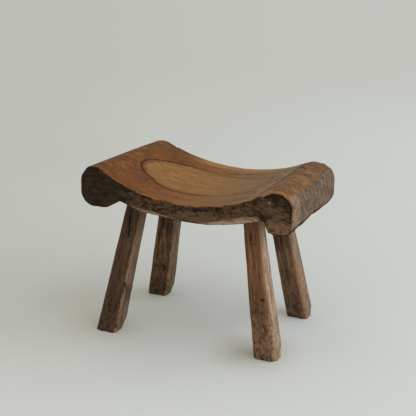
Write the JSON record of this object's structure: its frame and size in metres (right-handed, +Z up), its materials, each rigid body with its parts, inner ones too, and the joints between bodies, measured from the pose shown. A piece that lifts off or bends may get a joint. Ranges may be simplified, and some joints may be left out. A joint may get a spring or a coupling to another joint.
{
  "type": "low dished stool",
  "caption": "Low hand-carved wooden stool: a dished plank seat with a thick roll at each end, on splayed hewn legs with wedged tenons.",
  "frame": {"origin": "on the floor under the middle of the seat", "axes": "+X along the seat towards the roll that sags at its back, +Y to the back, +Z up"},
  "size_m": [0.428, 0.284, 0.3489],
  "materials": {
    "seat_wood": "worn, sat smooth on top, rough and dark on the edges",
    "leg_wood": "hewn, dry and worn",
    "wedge_wood": "split and unfinished"
  },
  "bodies": {
    "root": {"seat": "seat_wood", "leg_front_left": "leg_wood", "leg_rear_left": "leg_wood", "leg_front_right": "leg_wood", "leg_rear_right": "leg_wood", "wedge_front_left": "wedge_wood", "wedge_rear_left": "wedge_wood", "wedge_front_right": "wedge_wood", "wedge_rear_right": "wedge_wood"}
  },
  "joints": []
}
